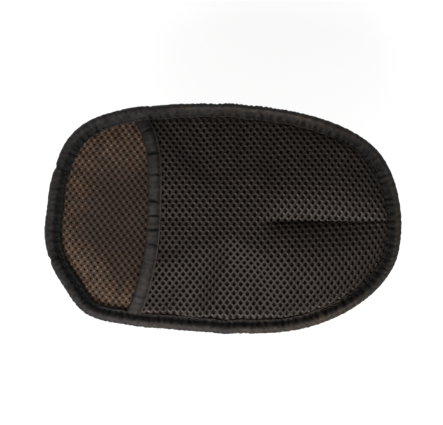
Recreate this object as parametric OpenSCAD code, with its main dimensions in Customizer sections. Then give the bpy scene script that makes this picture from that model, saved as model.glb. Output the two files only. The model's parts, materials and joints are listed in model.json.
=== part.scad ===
// Oval grooming mitt. A bound palm with a moulded nub pad underneath carries a domed mesh back panel,
// and the hand goes in under the bound edge of that panel, its mouth.
// Frame: +X to the fingertips and +Z to the back of the hand. The origin is on the plane that the nub tips
// rest on, under the middle of the mitt's length and width.
// The soft sheets are cut across at a wrist line and a knuckle line, one solid for each stiff section.

/* [Mitt] */
// Length over the rim binding, wrist end to fingertip end
mitt_l = 240; // [210:1:270]
// Width over the rim binding
mitt_w = 155; // [136:1:174]
// Height of the hand pocket at its crown
pocket_h = 16; // [14:1:26]

/* [Palm layers] */
// Height of one grooming nub below the pad sheet
nub_h = 6; // [4:0.5:8]
// Distance between neighbouring nubs
nub_pitch = 9.5; // [8.5:0.5:12]
// Diameter of a nub at its root
nub_root_d = 5; // [4:0.5:6]
// Diameter of a nub at its tip
nub_tip_d = 2.6; // [2:0.2:3.4]
// Thickness of the rubber sheet that carries the nubs
pad_t = 1.6; // [1.2:0.2:2.4]
// Thickness of the foam padding
foam_t = 3; // [2:0.5:5]
// Thickness of the mesh lining that faces the palm
palm_lining_t = 1.2; // [0.8:0.2:1.6]

/* [Back panel] */
// Thickness of the outer air mesh
mesh_t = 2.4; // [1.6:0.2:3]
// Thickness of the lining behind the air mesh
back_lining_t = 0.8; // [0.6:0.1:1]
// Share of the pocket height that the fingertip dart draws in
dart_draw = 0.35; // [0.1:0.05:0.4]

// How far the panel's mouth bows towards the fingertips
mouth_bow = 11.5; // [8:0.5:13]

/* [Bindings] */
// Finished width of the rim binding
rim_w = 9; // [7:0.5:11]
// Finished width of the mouth binding
mouth_w = 9.5; // [8.5:0.5:11]
// Thickness of one folded leg of binding tape
tape_t = 1.4; // [1:0.2:1.8]
// Width of the elastic inside the mouth binding
elastic_w = 6; // [4:0.5:6.5]

/* [Bend lines] */
// Distance from the origin forward to the knuckle line
knuckle_x = 12; // [8:1:18]
// Distance from the mouth's lower corner back to the wrist line
wrist_back = 5.6; // [5:0.2:10]
// Gap in the sheets at a bend line
bend_gap = 3; // [2.6:0.2:4]

/* [Hidden] */

black_tape = [0.17, 0.16, 0.15];
black_mesh = [0.14, 0.13, 0.12];
brown_mesh = [0.22, 0.17, 0.13];
tan_foam = [0.58, 0.45, 0.31];
brown_rubber = [0.42, 0.27, 0.17];
thread = [0.1, 0.1, 0.1];

// Levels of the palm's layers, from the floor up.
z_pad = nub_h;
z_foam = z_pad + pad_t;
z_lining = z_foam + foam_t;
z_palm = z_lining + palm_lining_t;
panel_t = back_lining_t + mesh_t;
elastic_t = 1;
slack = 0.25;         // room left round a layer inside a binding
seam_gap = 0.4;       // room between the rim binding and the edge of the back panel
embed = 0.3;          // how far a stitch sinks into the tape

// ---- Outline: a closed curve through eight points, fitted to the mitt's length and width ----

rim_shape = [
    [115.6, -31], [104.7, 44.4], [23, 75.3], [-91.8, 64.4],
    [-119.9, -3], [-106.4, -47.7], [-72.7, -70], [50.6, -75.2]
];
steps_per_span = 16;

function wrap(list, i) = list[(i + len(list)) % len(list)];
// Point at share u of the span that starts at point i of rim_shape.
function on_span(i, u) =
    let (a = wrap(rim_shape, i - 1), b = rim_shape[i], c = wrap(rim_shape, i + 1), d = wrap(rim_shape, i + 2))
    0.5 * (2 * b + (c - a) * u + (2 * a - 5 * b + 4 * c - d) * u * u + (3 * b - a - 3 * c + d) * u * u * u);
curve = [for (i = [0:len(rim_shape) - 1]) for (k = [0:steps_per_span - 1]) on_span(i, k / steps_per_span)];

curve_low = [for (axis = [0, 1]) min([for (p = curve) p[axis]])];
curve_high = [for (axis = [0, 1]) max([for (p = curve) p[axis]])];
fit = [mitt_l / (curve_high - curve_low).x, mitt_w / (curve_high - curve_low).y];
outline = [for (p = curve) let (q = p - (curve_low + curve_high) / 2) [q.x * fit.x, q.y * fit.y]];

function unit(v) = v / norm(v);
function left_of(v) = [-v.y, v.x];
// The outline moved inwards by d. The outline runs anticlockwise.
function inset(d) = [for (i = [0:len(outline) - 1])
    outline[i] + d * left_of(unit(wrap(outline, i + 1) - wrap(outline, i - 1)))];

panel_edge = inset(rim_w + seam_gap);

// ---- Dome of the back panel: height above the palm, from the panel's edge up to its crown ----

dart_y = -2;
dart_apex = 26;
dart_half_w = 24;     // how far the dart's pull spreads to each side
dart_run = 40;        // length over which the pull grows from the apex
crown = [knuckle_x, dart_y];
dome_power = 2.6;     // fullness of the dome's section

function turn_of(v) = atan2(v.y, v.x);
// Stands for the distance along a direction that meets nothing
never = 1e6;
// Distance from point o in direction a to the segment from b to c, or never if it misses.
function to_segment(o, a, b, c) =
    let (d = [cos(a), sin(a)], e = c - b, q = b - o, det = d.y * e.x - d.x * e.y)
    abs(det) < 1e-9 ? never : let (s = (q.y * e.x - q.x * e.y) / det, u = (d.x * q.y - d.y * q.x) / det)
    (s > 0 && u >= 0 && u <= 1) ? s : never;
// Distance from point o in direction a to the panel's sewn edge.
function to_edge(o, a) =
    min([for (i = [0:len(panel_edge) - 1]) to_segment(o, a, panel_edge[i], wrap(panel_edge, i + 1))]);
function on_edge(o, a) = o + to_edge(o, a) * [cos(a), sin(a)];

function clamp01(v) = min(1, max(0, v));
function smooth(v) = let (c = clamp01(v)) c * c * (3 - 2 * c);
function dart_pull(p) = p.x < dart_apex ? 0
    : dart_draw * smooth((p.x - dart_apex) / dart_run) * pow(clamp01(1 - abs(p.y - dart_y) / dart_half_w), 2);
function dome(p) =
    let (v = p - crown, r = norm(v))
    let (share = r < 0.01 ? 0 : min(1, r / to_edge(crown, turn_of(v))))
    pocket_h * (1 - pow(share, dome_power)) * (1 - dart_pull(p));

// ---- Mouth: the free edge of the back panel, an arc from its upper corner to its lower corner ----

mouth_upper = on_edge([-0.24 * mitt_l, 0], 90);
mouth_lower = on_edge([-0.26 * mitt_l, 0], -90);
mouth_fullness = [4, 2.2];     // of the arc's upper and lower halves
mouth_steps = 32;
wrist_x = wrist_back - mouth_lower.x;

function mouth_at(t) =
    let (chord = mouth_lower - mouth_upper, bow = 1 - pow(abs(2 * t - 1), mouth_fullness[t < 0.5 ? 0 : 1]))
    mouth_upper + chord * t + left_of(unit(chord)) * mouth_bow * bow;
function mouth_side(t) = left_of(unit(mouth_at(t + 0.01) - mouth_at(t - 0.01)));

// ---- Back panel: a rear shell from the mouth to the knuckle line and a front shell beyond it ----

rear_centre = [knuckle_x - bend_gap / 2, dart_y];
front_centre = [knuckle_x + bend_gap / 2, dart_y];
side_steps = 6;
front_steps = 14;

// Where the rear shell's edge starts and ends on the knuckle line, and its points from there to the mouth.
function rear_side(corner, a) = [for (k = [0:side_steps - 1])
    on_edge(rear_centre, a + ((turn_of(corner - rear_centre) - a + 540) % 360 - 180) * k / side_steps)];
rear_edge = concat(
    rear_side(mouth_upper, 90),
    [for (k = [0:mouth_steps]) mouth_at(k / mouth_steps)],
    [for (k = [side_steps - 1:-1:0]) rear_side(mouth_lower, 270)[k]]
);
// The front shell's edge has closer points towards the dart.
front_edge = [for (k = [-front_steps:front_steps])
    let (s = k / front_steps) on_edge(front_centre, 90 * sign(s) * pow(abs(s), 1.25))];
ring_count = 10;
// Shares of the way from a shell's centre to its edge.
rings = [for (k = [1:ring_count]) pow(k / ring_count, 0.8)];

// A domed sheet from z_low to z_low + t above the dome, fanned from centre out to the points of edge.
module domed_sheet(centre, edge, z_low, t) {
    n = len(edge);
    m = len(rings);
    flat = concat([centre], [for (u = rings) for (p = edge) centre + u * (p - centre)]);
    lift = [for (p = flat) z_palm + z_low + dome(p)];
    count = len(flat);
    points = concat(
        [for (i = [0:count - 1]) [flat[i].x, flat[i].y, lift[i]]],
        [for (i = [0:count - 1]) [flat[i].x, flat[i].y, lift[i] + t]]
    );
    at = function (ring, k) ring < 0 ? 0 : 1 + ring * n + k;
    fan = [for (k = [0:n - 2]) [0, at(0, k), at(0, k + 1)]];
    bands = [for (r = [0:m - 2]) for (k = [0:n - 2]) each [
        [at(r, k), at(r + 1, k), at(r + 1, k + 1)],
        [at(r, k), at(r + 1, k + 1), at(r, k + 1)]
    ]];
    loop = concat(
        [for (r = [-1:m - 1]) at(r, 0)],
        [for (k = [1:n - 2]) at(m - 1, k)],
        [for (r = [m - 1:-1:0]) at(r, n - 1)]
    );
    low = concat(fan, bands);
    walls = [for (i = [0:len(loop) - 1]) let (a = loop[i], b = wrap(loop, i + 1)) each [
        [a, b, b + count],
        [a, b + count, a + count]
    ]];
    // OpenSCAD wants each face clockwise when seen from outside.
    top = [for (f = low) [f[2] + count, f[1] + count, f[0] + count]];
    polyhedron(points = points, faces = concat(low, top, [for (f = walls) [f[2], f[1], f[0]]]));
}

// Point at share t of the mouth, in from its free edge by s.x and above the dome by s.y.
function mouth_point(t, s) =
    let (p = mouth_at(t) + mouth_side(t) * s.x) [p.x, p.y, z_palm + dome(p) + s.y];

// A solid of the given section swept along the mouth from share t0 to share t1.
module mouth_sweep(section, t0, t1) {
    n = len(section);
    last = mouth_steps;
    points = [for (k = [0:last]) for (s = section) mouth_point(t0 + (t1 - t0) * k / last, s)];
    skin = [for (k = [0:last - 1]) for (i = [0:n - 1]) let (a = k * n + i, b = k * n + (i + 1) % n) each [
        [a, b, b + n],
        [a, b + n, a + n]
    ]];
    polyhedron(
        points = points,
        faces = concat([[for (i = [0:n - 1]) n - 1 - i]], skin, [[for (i = [0:n - 1]) last * n + i]])
    );
}

// ---- Sections of the palm, cut across at the bend lines ----

far = 200;
sections = ["wrist", "palm", "fingers"];
section_x = [
    [-far, -wrist_x - bend_gap / 2],
    [-wrist_x + bend_gap / 2, knuckle_x - bend_gap / 2],
    [knuckle_x + bend_gap / 2, far]
];

module within(section) {
    x = section_x[section];
    intersection() {
        children();
        translate([x[0], -far]) square([x[1] - x[0], 2 * far]);
    }
}

module sheet(section, d, z, t) {
    translate([0, 0, z]) linear_extrude(t) within(section) polygon(inset(d));
}

module ring(section, outer, inner, z, t) {
    translate([0, 0, z]) linear_extrude(t) within(section) difference() {
        polygon(inset(outer));
        polygon(inset(inner));
    }
}

// ---- Sub-parts ----

nub_edge = rim_w + nub_root_d / 2 + 1;      // how far a nub's centre keeps from the rim
nub_bend = nub_root_d / 2 + 3.6;            // how far a nub's centre keeps from a bend line
nub_edge_line = inset(nub_edge);
nub_row = nub_pitch * sqrt(3) / 2;
nub_cols = ceil(mitt_l / nub_pitch / 2);
nub_rows = ceil(mitt_w / nub_row / 2);

function inside(p, list) = min([for (i = [0:len(list) - 1])
    let (a = list[i], e = wrap(list, i + 1) - a, q = p - a) e.x * q.y - e.y * q.x]) > 0;
function clear_of_bends(x) = abs(x - knuckle_x) > nub_bend && abs(x + wrist_x) > nub_bend;
nubs = [for (j = [-nub_rows:nub_rows]) for (i = [-nub_cols:nub_cols])
    let (p = [(i + (abs(j) % 2) / 2) * nub_pitch, j * nub_row])
    if (clear_of_bends(p.x) && inside(p, nub_edge_line)) p];

module nub_pad(section) {
    x = section_x[section];
    color(brown_rubber) union() {
        sheet(section, tape_t + slack, z_pad, pad_t);
        for (p = nubs) if (p.x > x[0] && p.x < x[1])
            translate([p.x, p.y, 0]) cylinder(d1 = nub_tip_d, d2 = nub_root_d, h = nub_h + embed, $fn = 24);
    }
}

module padding(section) {
    color(tan_foam) sheet(section, tape_t + slack, z_foam, foam_t);
}

module palm_lining(section) {
    color(brown_mesh) sheet(section, tape_t + slack, z_lining, palm_lining_t);
}

module rim_binding(section) {
    color(black_tape) difference() {
        ring(section, 0, rim_w, z_pad - tape_t, z_palm - z_pad + 2 * tape_t);
        sheet(section, tape_t, z_pad, z_palm - z_pad);
    }
}

stitch_l = 3.4;
stitch_w = 0.8;
stitch_t = 0.5;
rim_stitch_line = inset(rim_w - 1.5);

// One stitch lying along dir with the middle of its underside at p.
module stitch(p, dir) {
    translate(p) rotate([0, -asin(dir.z), turn_of(dir)])
        translate([-stitch_l / 2, -stitch_w / 2, 0]) cube([stitch_l, stitch_w, stitch_t]);
}

// One lockstitch row: needle thread on top of the binding and bobbin thread under it.
module rim_stitches(section) {
    x = section_x[section];
    color(thread) for (i = [0:len(rim_stitch_line) - 1]) {
        p = rim_stitch_line[i];
        dir = unit(wrap(rim_stitch_line, i + 1) - wrap(rim_stitch_line, i - 1));
        if (p.x > x[0] + stitch_l && p.x < x[1] - stitch_l)
            for (z = [z_palm + tape_t - embed, z_pad - tape_t + embed - stitch_t])
                stitch([p.x, p.y, z], [dir.x, dir.y, 0]);
    }
}

module back_lining_fingers() {
    color(black_mesh) domed_sheet(front_centre, front_edge, 0, back_lining_t);
}

module back_mesh_fingers() {
    color(black_mesh) domed_sheet(front_centre, front_edge, back_lining_t, mesh_t);
}

module back_lining_mouth() {
    color(black_mesh) domed_sheet(rear_centre, rear_edge, 0, back_lining_t);
}

module back_mesh_mouth() {
    color(black_mesh) domed_sheet(rear_centre, rear_edge, back_lining_t, mesh_t);
}

// The tape's section: a U over the panel's edge, with the elastic between its upper leg and the air mesh.
fold_x = -tape_t - slack;
leg_x = fold_x + mouth_w;
low_in = -slack;
top_in = panel_t + elastic_t + 2 * slack;
binding_ends = [0.045, 0.955];     // the tape stops clear of the rim binding
elastic_ends = [0.06, 0.94];
elastic_low = panel_t + slack;

module mouth_binding() {
    section = [
        [fold_x, low_in - tape_t], [leg_x, low_in - tape_t], [leg_x, low_in], [-slack, low_in],
        [-slack, top_in], [leg_x, top_in], [leg_x, top_in + tape_t], [fold_x, top_in + tape_t]
    ];
    color(black_tape) mouth_sweep(section, binding_ends[0], binding_ends[1]);
}

module mouth_elastic() {
    section = [
        [slack, elastic_low], [slack + elastic_w, elastic_low],
        [slack + elastic_w, elastic_low + elastic_t], [slack, elastic_low + elastic_t]
    ];
    color(thread) mouth_sweep(section, elastic_ends[0], elastic_ends[1]);
}

mouth_stitch_count = 26;

// Needle thread on the upper leg of the tape and bobbin thread under the lower leg.
module mouth_stitches() {
    levels = [top_in + tape_t - embed, low_in - tape_t + embed - stitch_t];
    color(thread) for (k = [1:mouth_stitch_count - 1]) for (z = levels) {
        t = binding_ends[0] + (binding_ends[1] - binding_ends[0]) * k / mouth_stitch_count;
        at = function (t) mouth_point(t, [leg_x - 1.5, z]);
        stitch(at(t), unit(at(t + 0.01) - at(t - 0.01)));
    }
}

dart_stitch_every = 4.6;
dart_end = 100;

// The seam that closes the dart, under the back lining.
module dart_stitches() {
    color(thread) for (x = [dart_apex + dart_stitch_every:dart_stitch_every:dart_end]) {
        at = function (x) [x, dart_y, z_palm + dome([x, dart_y]) + embed - stitch_t];
        stitch(at(x), unit(at(x + 1) - at(x - 1)));
    }
}

nub_pad(0);  // nub_pad_wrist
padding(0);  // padding_wrist
palm_lining(0);  // palm_lining_wrist
rim_binding(0);  // rim_binding_wrist
rim_stitches(0);  // rim_stitches_wrist
nub_pad(1);  // nub_pad_palm
padding(1);  // padding_palm
palm_lining(1);  // palm_lining_palm
rim_binding(1);  // rim_binding_palm
rim_stitches(1);  // rim_stitches_palm
nub_pad(2);  // nub_pad_fingers
padding(2);  // padding_fingers
palm_lining(2);  // palm_lining_fingers
rim_binding(2);  // rim_binding_fingers
rim_stitches(2);  // rim_stitches_fingers
back_lining_fingers();
back_mesh_fingers();
back_lining_mouth();
back_mesh_mouth();
dart_stitches();
mouth_elastic();
mouth_binding();
mouth_stitches();
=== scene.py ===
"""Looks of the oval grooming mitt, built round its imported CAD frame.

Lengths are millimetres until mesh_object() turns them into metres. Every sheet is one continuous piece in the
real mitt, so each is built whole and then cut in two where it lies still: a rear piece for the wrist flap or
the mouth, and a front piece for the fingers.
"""
import json
import math

import bmesh
import bpy
import numpy as np
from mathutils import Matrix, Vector


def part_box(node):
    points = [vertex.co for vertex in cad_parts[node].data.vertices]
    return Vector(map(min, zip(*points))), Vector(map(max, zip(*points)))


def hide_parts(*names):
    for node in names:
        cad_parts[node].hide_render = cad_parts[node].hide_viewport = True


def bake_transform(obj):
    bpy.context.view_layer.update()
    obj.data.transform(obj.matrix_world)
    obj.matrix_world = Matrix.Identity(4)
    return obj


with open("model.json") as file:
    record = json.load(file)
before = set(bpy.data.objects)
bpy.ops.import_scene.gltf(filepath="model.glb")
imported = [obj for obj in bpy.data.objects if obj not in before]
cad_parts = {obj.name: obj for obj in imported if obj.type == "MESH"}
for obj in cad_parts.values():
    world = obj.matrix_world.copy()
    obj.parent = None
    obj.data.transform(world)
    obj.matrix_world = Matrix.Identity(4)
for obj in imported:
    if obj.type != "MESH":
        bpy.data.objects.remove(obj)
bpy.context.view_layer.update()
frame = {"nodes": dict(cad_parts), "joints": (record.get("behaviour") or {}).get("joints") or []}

MM = 0.001

# ---- Measures taken from the frame ----


def low(node, axis):
    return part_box(node)[0][axis] / MM


def high(node, axis):
    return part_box(node)[1][axis] / MM


def cad_points(*names):
    """Vertices of CAD nodes, in millimetres."""
    return np.array([v.co for n in names for v in frame["nodes"][n].data.vertices], float) / MM


def joint(name):
    return next(j for j in frame["joints"] if j["name"] == name)


RIM_NODES = ("rim_binding_wrist", "rim_binding_palm", "rim_binding_fingers")
MITT_L = high("rim_binding_fingers", 0) - low("rim_binding_wrist", 0)
Z_RIM_LOW, Z_RIM_TOP = low("rim_binding_palm", 2), high("rim_binding_palm", 2)
Z_PALM = high("palm_lining_palm", 2)
Z_FOAM = low("padding_palm", 2)
Z_CROWN = high("back_mesh_mouth", 2)
KNUCKLE_X = joint("knuckle_flex")["pos_m"][0] / MM


def add_object(name, data):
    thing = bpy.data.objects.new(name, data)
    bpy.context.scene.collection.objects.link(thing)
    return thing


# ---- Sizes of the looks ----

PAD_T = 1.6                  # rubber sheet under the foam
RIM_W = 9.0                  # finished width of the rim binding
DART_Y = -2.0
DART_APEX = 26.0
CROWN = np.array([KNUCKLE_X, DART_Y])
Z_SEAM = Z_RIM_TOP - 3.0     # height of the back mesh where it goes under the rim binding
SEAM_STACK = 1.3             # how much lower the palm lining lies there
FABRIC_EDGE = RIM_W - 4.0    # the back and the palm lining reach out this near to the outline
PAD_EDGE = 3.0               # and so do the foam and the nub pad
NET_PITCH = (4.47, 6.0)      # across the mitt's length and width; every other row is shifted by half
PALM_PITCH = (4.55, 5.6)
PALM_TURN = math.radians(-4.5)       # the palm lining is cut a little off its grain
KNUCKLE_ZONE = (-14.0, 46.0)     # where the mitt bends with the fingers
WRIST_ZONE = (-62.0, -90.0)      # where it bends with the wrist flap
REAR_CUT = -30.0             # where the palm's pieces are cut in two, which no joint moves

# ---- Outline ----

TURN = 2 * math.pi
ANGLES = np.arange(1440) / 1440 * TURN - math.pi
NEIGHBOUR_ANGLE = math.radians(4)    # boundary points this near are compared, to tell outer ones from inner


def smooth(t):
    t = np.clip(t, 0, 1)
    return t * t * (3 - 2 * t)


def ease(values, start, end):
    """0 up to start and 1 from end on, with a smooth change between. end may be the lower one."""
    return smooth((values - start) / (end - start))


def pulse(values, at, width):
    """1 at that value, falling to 0 a few widths off it."""
    return np.exp(-((values - at) / width) ** 2)


def unit(vectors):
    return vectors / np.linalg.norm(vectors, axis=-1, keepdims=True)


def left_of(along):
    """Unit vectors to the left of flat ones."""
    along = unit(along)
    return np.column_stack([-along[:, 1], along[:, 0]])


def polar(points, centre, harmonics=60):
    """Radius of the points' outer boundary about centre, at ANGLES, without its finer harmonics."""
    v = points[:, :2] - centre
    angle, radius = np.arctan2(v[:, 1], v[:, 0]), np.hypot(v[:, 0], v[:, 1])
    order = np.argsort(angle)
    angle, radius = angle[order], radius[order]
    near = np.abs((angle[:, None] - angle[None] + math.pi) % TURN - math.pi) < NEIGHBOUR_ANGLE
    outer = radius > np.where(near, radius[None], 0).max(1) - RIM_W / 2
    spectrum = np.fft.rfft(np.interp(ANGLES, angle[outer], radius[outer], period=TURN))
    spectrum[harmonics:] = 0
    return np.fft.irfft(spectrum, len(ANGLES))


def radius_at(table, v):
    return np.interp(np.arctan2(v[:, 1], v[:, 0]), ANGLES, table, period=TURN)


def even_loop(points, step):
    """The closed curve through points, resampled at an even spacing near step."""
    ends = np.vstack([points, points[:1]])
    run = np.concatenate([[0], np.cumsum(np.linalg.norm(np.diff(ends, axis=0), axis=1))])
    at = np.linspace(0, run[-1], max(8, round(run[-1] / step)), endpoint=False)
    return np.column_stack([np.interp(at, run, ends[:, k]) for k in range(2)])


OUTLINE_R = polar(cad_points(*RIM_NODES), np.zeros(2), harmonics=30)
RIM = even_loop(np.column_stack([np.cos(ANGLES), np.sin(ANGLES)]) * OUTLINE_R[:, None], 0.8)
RIM_IN = left_of(np.roll(RIM, -1, axis=0) - np.roll(RIM, 1, axis=0))     # unit vectors into the mitt
RIM_RUN = np.arange(len(RIM)) * np.linalg.norm(RIM[1] - RIM[0])
RIM_LENGTH = len(RIM) * np.linalg.norm(RIM[1] - RIM[0])
EDGE_R = polar(RIM + RIM_IN * RIM_W, CROWN)


def nearest_rim(xy):
    """Index of the nearest outline point to each point, and its distance in from the outline."""
    index, depth = np.empty(len(xy), int), np.empty(len(xy))
    for i in range(0, len(xy), 4000):
        part = xy[i:i + 4000]
        square = ((part[:, None, :] - RIM[None]) ** 2).sum(2)
        index[i:i + 4000] = square.argmin(1)
        depth[i:i + 4000] = np.sqrt(square.min(1))
    inside = np.hypot(xy[:, 0], xy[:, 1]) < radius_at(OUTLINE_R, xy)
    return index, np.where(inside, depth, -depth)


def rim_depth(xy):
    return nearest_rim(xy)[1]


def squeeze(depth, least, soft):
    """Depths over least + soft stay; smaller ones close up towards least, and keep their order."""
    over = depth - least
    return least + np.where(over > soft, over, soft * np.exp(np.minimum((over - soft) / soft, 0)))


def keep_inside(xy, margin, soft):
    """Points closer to the outline than margin are drawn in to it."""
    index, depth = nearest_rim(xy)
    return xy + RIM_IN[index] * (squeeze(depth, margin, soft) - depth)[:, None]


# ---- Mouth ----


def on_panel_edge(x, side):
    """The point of the panel's sewn edge at that x, on the +Y or the -Y side."""
    edge = RIM + RIM_IN * RIM_W
    rows = edge[edge[:, 1] * side > 0]
    return rows[np.argmin(abs(rows[:, 0] - x))]


MOUTH_UPPER = on_panel_edge(-0.24 * MITT_L, 1)
MOUTH_LOWER = on_panel_edge(-0.26 * MITT_L, -1)
MOUTH_BOW = 11.5
MOUTH_FULLNESS = (4, 2.2)    # of the arc's upper and lower halves
MOUTH_STEP = 0.004           # a short share of the edge, over which its direction is measured


def mouth_at(t):
    """Points of the panel's free edge at shares t of the way from its upper to its lower corner."""
    chord = MOUTH_LOWER - MOUTH_UPPER
    power = np.where(t < 0.5, *MOUTH_FULLNESS)
    bow = 1 - np.abs(2 * t - 1) ** power
    return MOUTH_UPPER + np.outer(t, chord) + np.outer(MOUTH_BOW * bow, left_of(chord[None])[0])


def mouth_side(t):
    """Unit vectors from the free edge into the panel."""
    return left_of(mouth_at(t + MOUTH_STEP) - mouth_at(t - MOUTH_STEP))


MOUTH_T = np.linspace(-0.12, 1.12, 300)
MOUTH = mouth_at(MOUTH_T)


def past_mouth(xy):
    """How far in from the free edge each point is, measured along the mitt."""
    order = np.argsort(MOUTH[:, 1])
    return xy[:, 0] - np.interp(xy[:, 1], MOUTH[order, 1], MOUTH[order, 0])


# ---- Sheets: heights over the floor plan ----

GRID_STEP = 1.0
GRID_X = np.arange(-132, 133) * GRID_STEP
GRID_Y = DART_Y + np.arange(-90, 91) * GRID_STEP
PLAN_X, PLAN_Y = np.meshgrid(GRID_X, GRID_Y, indexing="ij")
PLAN = np.column_stack([PLAN_X.ravel(), PLAN_Y.ravel()])


def bilinear(field, i, j, a, b):
    """The field's value at shares a and b of the way from its point (i, j) to the next ones."""
    value = field[i, j] * (1 - a) * (1 - b) + field[i + 1, j] * a * (1 - b)
    return value + field[i, j + 1] * (1 - a) * b + field[i + 1, j + 1] * a * b


def sample(field, xy):
    """Value of a field on the grid at each point."""
    fx = np.clip((xy[:, 0] - GRID_X[0]) / GRID_STEP, 0, len(GRID_X) - 1.001)
    fy = np.clip((xy[:, 1] - GRID_Y[0]) / GRID_STEP, 0, len(GRID_Y) - 1.001)
    i, j = fx.astype(int), fy.astype(int)
    return bilinear(field, i, j, (fx - i)[:, None], (fy - j)[:, None])


class Sheet:
    """A fabric surface: where each point of the floor plan lies, and which way is out of the fabric there."""

    def __init__(self, height):
        self.place = np.column_stack([PLAN, height(PLAN)]).reshape(*PLAN_X.shape, 3)
        self.find_normals()

    def find_normals(self):
        dx, dy = np.gradient(self.place, axis=(0, 1))
        self.normal = unit(np.cross(dx, dy))

    def move(self, shift):
        """Adds a shift, given at each grid point."""
        self.place = self.place + shift
        self.find_normals()

    def at(self, xy, lift=0.0):
        """The fabric's points over xy, lift along its normals."""
        return sample(self.place, xy) + sample(self.normal, xy) * np.reshape(lift, (-1, 1))


BACK_ROOM, PALM_ROOM = 0.6, 0.5      # left under the CAD's tops for the nets' strands
DOME_FULLNESS = 2.4          # a higher number makes the dome flatter on top and steeper at its edge
PALM_DISH, POCKET_DISH = 0.7, 0.8    # how much lower the palm lies in its middle, and more so in the pocket
DART_REACH = (26.0, 7.0)     # how far from the seam the dart draws the dome in: softly, and right beside it
DART_SHARE = (0.22, 0.38)    # of the dome's height that it draws in there


def dart_pull(xy):
    """Share of the dome's height that the dart draws in."""
    x, off = xy[:, 0], np.abs(xy[:, 1] - DART_Y)
    broad = np.clip(1 - off / DART_REACH[0], 0, 1) ** 2
    near = np.exp(-off / DART_REACH[1]) * ease(x, DART_APEX - 3, DART_APEX + 13)
    return DART_SHARE[0] * ease(x, DART_APEX - 2, DART_APEX + 40) * broad + DART_SHARE[1] * near


def back_height(xy):
    """Top of the back mesh: a dome from its sewn edge to its crown, with the dart drawn in."""
    v = xy - CROWN
    share = np.hypot(v[:, 0], v[:, 1]) / radius_at(EDGE_R, v)
    dome = np.where(share < 1, 1 - share ** DOME_FULLNESS, 0.25 * (1 - share))
    return Z_SEAM + (Z_CROWN - BACK_ROOM - Z_SEAM) * dome * (1 - dart_pull(xy))


def palm_height(xy):
    """Top of the palm lining: pressed down in the rim's seam, plump beside it, and dished in the middle."""
    depth = rim_depth(xy)
    full = Z_PALM - PALM_ROOM - PALM_DISH * ease(depth, 22, 48) - POCKET_DISH * ease(past_mouth(xy), 0, 12)
    tucked = Z_SEAM - SEAM_STACK
    return tucked + (full - tucked) * ease(depth, RIM_W - 1, RIM_W + 13)


# ---- Cloth ----

CLOTH_STEP = 4
CLOTH_FRAMES = 22


def cloth_settings(cloth, growth, pressure):
    s = cloth.settings
    s.quality = 6
    s.mass = 0.25
    s.tension_stiffness = s.compression_stiffness = 12
    s.shear_stiffness = 6
    s.bending_stiffness = 1.2
    s.air_damping = 2
    s.shrink_min = -growth
    s.use_pressure = True
    s.uniform_pressure_force = pressure
    s.effector_weights.gravity = 0
    s.vertex_group_mass = "sewn"
    cloth.collision_settings.use_collision = False
    cloth.collision_settings.use_self_collision = False


def settled(rest, faces, sewn, growth, pressure):
    """Where a cloth mesh's points come to rest, in millimetres. The sewn ones, given by index, stay."""
    mesh = bpy.data.meshes.new("cloth")
    mesh.from_pydata((rest * MM).tolist(), [], faces.tolist())
    piece = add_object("cloth", mesh)
    group = piece.vertex_groups.new(name="sewn")
    group.add(sewn.tolist(), 1.0, "ADD")
    cloth_settings(piece.modifiers.new("cloth", "CLOTH"), growth, pressure)
    for step in range(1, CLOTH_FRAMES + 1):
        bpy.context.scene.frame_set(step)
    done = piece.evaluated_get(bpy.context.evaluated_depsgraph_get())
    points = np.array([v.co for v in done.data.vertices]) / MM
    bpy.context.scene.frame_set(1)
    bpy.data.objects.remove(piece)
    return points


def simulate(sheet, inside, sewn, growth, pressure, cap):
    """Lets the sheet's fabric, cut growth larger than its place, settle between its sewn points.

    inside and sewn are true or false at each grid point. Returns each one's shift, at most cap long."""
    some = np.zeros_like(inside)
    some[::CLOTH_STEP, ::CLOTH_STEP] = True
    ids = np.full(inside.shape, -1)
    ids[inside & some] = np.arange((inside & some).sum())
    coarse = ids[::CLOTH_STEP, ::CLOTH_STEP]
    corners = [coarse[:-1, :-1], coarse[1:, :-1], coarse[1:, 1:], coarse[:-1, 1:]]
    faces = np.stack(corners, axis=-1).reshape(-1, 4)
    faces = faces[(faces >= 0).all(1)]
    rest = sheet.place[inside & some]
    shift = settled(rest, faces, np.flatnonzero(sewn[inside & some]), growth, pressure) - rest
    length = np.linalg.norm(shift, axis=1)[:, None]
    shift *= np.minimum(1, cap / np.maximum(length, 1e-6))
    field = np.zeros(coarse.shape + (3,))
    field[coarse >= 0] = shift
    return spread(field)


def spread(field):
    """A coarse field on the cloth's grid, smoothed on to the full grid."""
    i = np.clip(np.arange(len(GRID_X)) / CLOTH_STEP, 0, field.shape[0] - 1.001)
    j = np.clip(np.arange(len(GRID_Y)) / CLOTH_STEP, 0, field.shape[1] - 1.001)
    a, b = (i % 1)[:, None, None], (j % 1)[None, :, None]
    full = bilinear(field, i.astype(int)[:, None], j.astype(int)[None, :], a, b)
    for _ in range(6):
        padded = np.pad(full, ((1, 1), (1, 1), (0, 0)), mode="edge")
        full = (padded[:-2, 1:-1] + padded[2:, 1:-1] + padded[1:-1, :-2] + padded[1:-1, 2:] + 2 * full) / 6
    return full


def settle_sheets():
    """Simulates the back mesh between its seams, and the palm lining between the rim binding's seam."""
    depth = rim_depth(PLAN).reshape(PLAN_X.shape)
    mouth = past_mouth(PLAN).reshape(PLAN_X.shape)
    dart = (np.abs(PLAN_Y - DART_Y) < 2) & (PLAN_X > DART_APEX)
    inside = (depth > FABRIC_EDGE) & (mouth > -4)
    sewn = (depth < RIM_W) | (mouth < 6) | dart
    BACK.move(simulate(BACK, inside, sewn, growth=0.018, pressure=0.6, cap=3.5))
    PALM.move(simulate(PALM, depth > FABRIC_EDGE, depth < RIM_W, growth=0.006, pressure=0.3, cap=1.2))


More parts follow.
